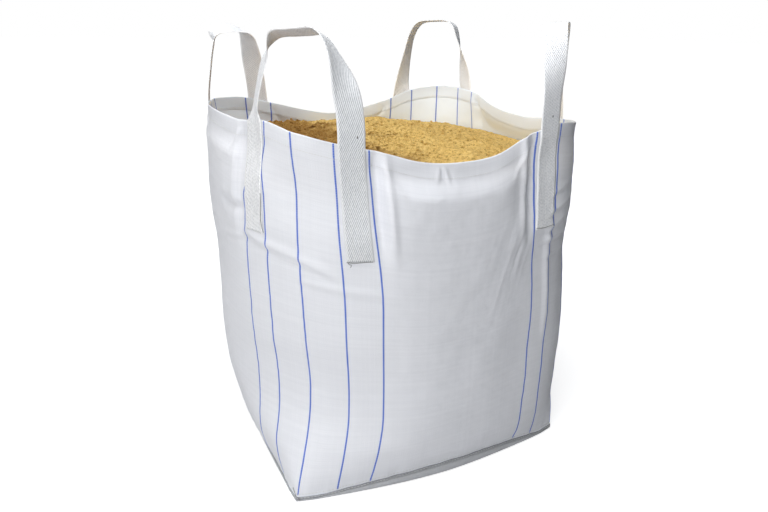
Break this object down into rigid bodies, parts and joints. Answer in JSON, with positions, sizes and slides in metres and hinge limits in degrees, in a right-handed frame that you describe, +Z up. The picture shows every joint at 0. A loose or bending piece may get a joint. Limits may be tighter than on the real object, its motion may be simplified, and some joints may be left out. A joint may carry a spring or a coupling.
{
  "type": "bulk bag",
  "caption": "Open-top woven bulk bag standing full of sand, with cross-corner webbing lifting loops, a sewn base and a folded rim hem.",
  "frame": {"origin": "on the floor, under the middle of the base panel", "axes": "+Z up, -Y towards the front face, +X to the right of a person facing the front; the loops stand on the four corners"},
  "size_m": [1.0412, 1.0412, 1.3035],
  "materials": {
    "woven_fabric": "matte woven polypropylene tape",
    "webbing": "twill-woven polypropylene webbing",
    "thread": "twisted polyester sewing thread",
    "seam_cord": "soft filler cord under the folded seam",
    "marker_yarn": "blue woven tape",
    "sand": "damp yellow sand"
  },
  "bodies": {
    "bag": {"back_left_marker_yarns": "marker_yarn", "back_left_stitching_on_back": "thread", "back_left_stitching_on_left": "thread", "back_left_strap_end_on_back": "webbing", "back_left_strap_end_on_left": "webbing", "back_left_strap_folds": "webbing", "back_right_marker_yarns": "marker_yarn", "back_right_stitching_on_back": "thread", "back_right_stitching_on_right": "thread", "back_right_strap_end_on_back": "webbing", "back_right_strap_end_on_right": "webbing", "back_right_strap_folds": "webbing", "base_panel": "woven_fabric", "base_seam_cord": "seam_cord", "base_seam_stitching": "thread", "body_tube": "woven_fabric", "front_left_marker_yarns": "marker_yarn", "front_left_stitching_on_front": "thread", "front_left_stitching_on_left": "thread", "front_left_strap_end_on_front": "webbing", "front_left_strap_end_on_left": "webbing", "front_left_strap_folds": "webbing", "front_right_marker_yarns": "marker_yarn", "front_right_stitching_on_front": "thread", "front_right_stitching_on_right": "thread", "front_right_strap_end_on_front": "webbing", "front_right_strap_end_on_right": "webbing", "front_right_strap_folds": "webbing", "rim_band": "woven_fabric", "rim_hem": "woven_fabric", "rim_hem_stitching": "thread", "sand_fill": "sand"},
    "front_left_loop": {"front_left_lifting_loop": "webbing"},
    "front_right_loop": {"front_right_lifting_loop": "webbing"},
    "back_right_loop": {"back_right_lifting_loop": "webbing"},
    "back_left_loop": {"back_left_lifting_loop": "webbing"}
  },
  "joints": [
    {"name": "front_left_loop_swing", "type": "hinge", "parent": "bag", "child": "front_left_loop", "pos_m": [-0.3924, -0.3924, 1.03], "axis": [0.7071, -0.7071, 0], "range_deg": [-90, 115], "stiffness_Nm_per_rad": 1.5, "deforming": ["front_left_strap_folds"]},
    {"name": "front_right_loop_swing", "type": "hinge", "parent": "bag", "child": "front_right_loop", "pos_m": [0.3924, -0.3924, 1.03], "axis": [0.7071, 0.7071, 0], "range_deg": [-90, 115], "stiffness_Nm_per_rad": 1.5, "deforming": ["front_right_strap_folds"]},
    {"name": "back_right_loop_swing", "type": "hinge", "parent": "bag", "child": "back_right_loop", "pos_m": [0.3924, 0.3924, 1.03], "axis": [-0.7071, 0.7071, 0], "range_deg": [-90, 115], "stiffness_Nm_per_rad": 1.5, "deforming": ["back_right_strap_folds"]},
    {"name": "back_left_loop_swing", "type": "hinge", "parent": "bag", "child": "back_left_loop", "pos_m": [-0.3924, 0.3924, 1.03], "axis": [-0.7071, -0.7071, 0], "range_deg": [-90, 115], "stiffness_Nm_per_rad": 1.5, "deforming": ["back_left_strap_folds"]}
  ]
}
